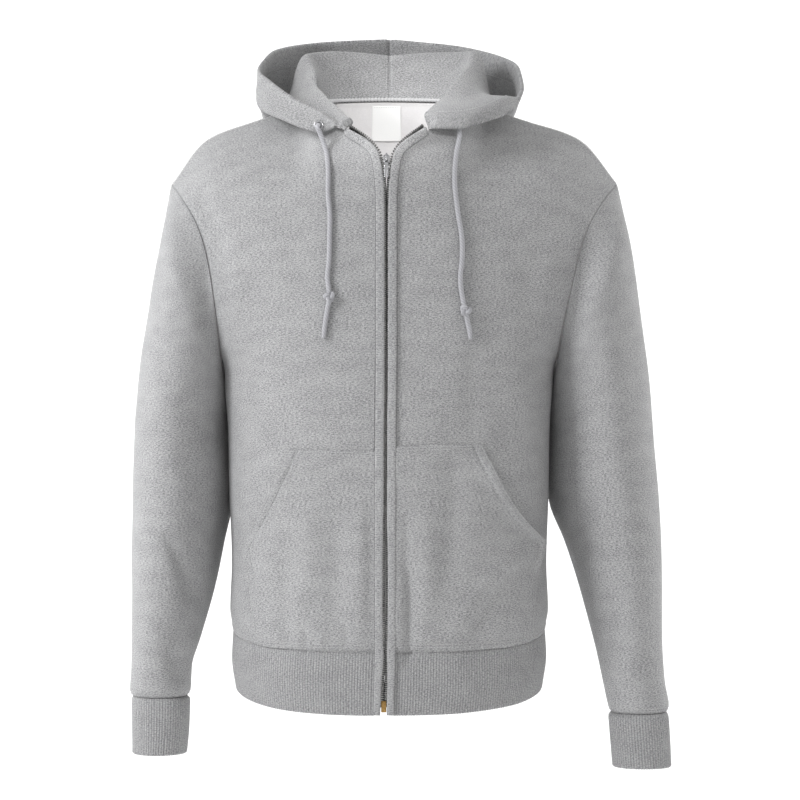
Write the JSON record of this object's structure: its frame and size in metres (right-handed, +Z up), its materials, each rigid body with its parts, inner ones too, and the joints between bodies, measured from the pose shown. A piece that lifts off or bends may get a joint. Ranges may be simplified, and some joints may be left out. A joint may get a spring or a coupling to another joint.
{
  "type": "zip up hoodie",
  "caption": "Worn-form zip hooded sweatshirt with laid-back hood, drawcord, front pouch pockets, ribbed cuffs and hem, and a hinged zip pull.",
  "frame": {"origin": "centre of the neck, level with the high shoulder points, where the wearer's neck and shoulders hold it up", "axes": "+Z up out of the neck, the front faces -Y, +X towards the wearer's left"},
  "size_m": [0.6357, 0.3456, 0.881],
  "materials": {
    "fleece": "heather grey marl jersey with a brushed inside",
    "hood_fleece": "two-ply heather grey marl jersey",
    "rib": "doubled one by one rib knit, grey marl",
    "label": "smooth woven, bare",
    "tape": "woven zip tape",
    "cord": "round braided cotton",
    "nickel": "polished nickel",
    "brass": "plain"
  },
  "bodies": {
    "garment": {"front_left": "fleece", "front_right": "fleece", "back": "fleece", "sleeve_left": "fleece", "sleeve_right": "fleece", "pocket_left": "fleece", "pocket_right": "fleece", "placket_left": "fleece", "placket_right": "fleece", "hood_left": "hood_fleece", "hood_right": "hood_fleece", "hem_rib": "rib", "cuff_left": "rib", "cuff_right": "rib", "neck_label": "label", "zip_tape_left": "tape", "zip_tape_right": "tape", "zip_teeth_left": "nickel", "zip_teeth_right": "nickel", "zip_slider": "nickel", "zip_box": "brass", "eyelet_left": "nickel", "eyelet_right": "nickel", "cord_left": "cord", "cord_right": "cord", "knot_left": "cord", "knot_right": "cord", "tail_left": "cord", "tail_right": "cord"},
    "pull_tab": {"pull_tab": "nickel"}
  },
  "joints": [
    {"name": "pull_tab_hinge", "type": "hinge", "parent": "garment", "child": "pull_tab", "pos_m": [-0.0024, -0.12437, -0.06251], "axis": [-1, 0, 0], "range_deg": [0, 120]}
  ]
}
